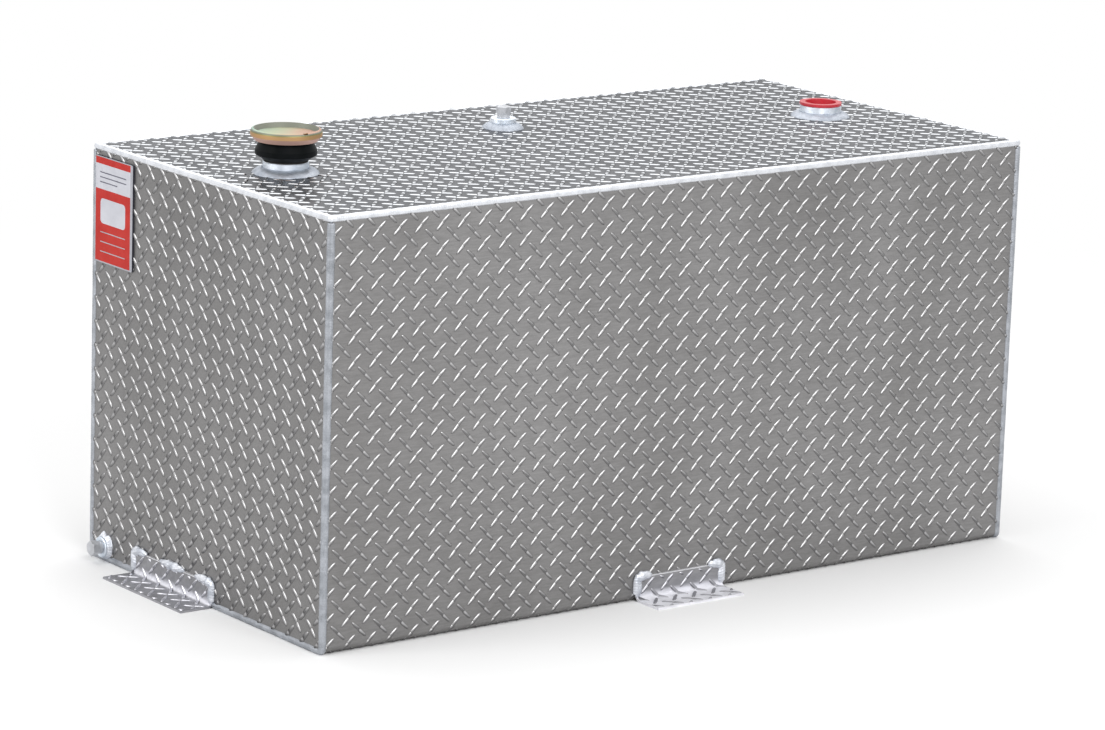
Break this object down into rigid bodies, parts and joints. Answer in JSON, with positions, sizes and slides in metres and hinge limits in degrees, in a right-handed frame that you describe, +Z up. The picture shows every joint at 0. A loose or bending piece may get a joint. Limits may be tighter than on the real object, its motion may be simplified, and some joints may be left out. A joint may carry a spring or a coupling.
{
  "type": "truck bed transfer tank",
  "caption": "Rectangular aluminium tread plate fuel transfer tank for a pickup bed, with a screw fill cap, a vent plug, a pump bung, a low drain and hold-down brackets.",
  "frame": {"origin": "on the floor under the middle of the tank", "axes": "+X along the tank, towards the pump bung; +Y to the back; +Z up"},
  "size_m": [1.325, 0.703, 0.666],
  "materials": {
    "tread_plate": "bright mill tread plate",
    "weld_bead": "bright weld metal",
    "turned_aluminium": "turned",
    "label_card": "printed plastic",
    "gasket_rubber": "matte",
    "black_plastic": "moulded, faint gloss",
    "plated_cover": "yellow passivated zinc plate on steel",
    "grey_plug": "zinc coated steel",
    "red_plastic": "moulded"
  },
  "bodies": {
    "tank": {"wrap_sheet": "tread_plate", "top_panel": "tread_plate", "end_panel_left": "tread_plate", "end_panel_right": "tread_plate", "baffle_left": "tread_plate", "baffle_right": "tread_plate", "top_seam_weld": "weld_bead", "end_seam_weld_left": "weld_bead", "end_seam_weld_right": "weld_bead", "bracket_front": "tread_plate", "bracket_rear": "tread_plate", "bracket_left": "tread_plate", "bracket_right": "tread_plate", "bracket_front_welds": "weld_bead", "bracket_rear_welds": "weld_bead", "bracket_left_welds": "weld_bead", "bracket_right_welds": "weld_bead", "fill_neck": "turned_aluminium", "fill_neck_weld": "weld_bead", "vent_bung": "turned_aluminium", "vent_bung_weld": "weld_bead", "pump_bung": "turned_aluminium", "pump_bung_weld": "weld_bead", "drain_bung": "turned_aluminium", "drain_bung_weld": "weld_bead", "label_plate": "label_card"},
    "fill_cap_seal": {"fill_cap_gasket": "gasket_rubber"},
    "fill_cap": {"fill_cap_body": "black_plastic", "fill_cap_cover": "plated_cover"},
    "vent_plug": {"vent_plug": "grey_plug"},
    "pump_port_plug": {"pump_port_plug": "red_plastic"},
    "drain_plug": {"drain_plug": "grey_plug"}
  },
  "joints": [
    {"name": "fill_cap_rise", "type": "slide", "parent": "tank", "child": "fill_cap_seal", "axis": [0, 0, 1], "range_m": [0, 0.01546]},
    {"name": "fill_cap_turn", "type": "hinge", "parent": "fill_cap_seal", "child": "fill_cap", "pos_m": [-0.4908, -0.0112, 0.65], "axis": [0, 0, 1], "range_deg": [0, 2520]},
    {"name": "vent_plug_out", "type": "slide", "parent": "tank", "child": "vent_plug", "axis": [0, 0, 1], "range_m": [0, 0.013]},
    {"name": "pump_port_plug_out", "type": "slide", "parent": "tank", "child": "pump_port_plug", "axis": [0, 0, 1], "range_m": [0, 0.02]},
    {"name": "drain_plug_out", "type": "slide", "parent": "tank", "child": "drain_plug", "axis": [-1, 0, 0], "range_m": [0, 0.013]}
  ],
  "couplings": [
    {"joint": "fill_cap_rise", "follows": "fill_cap_turn", "m_per_rad": 0.00035152}
  ]
}
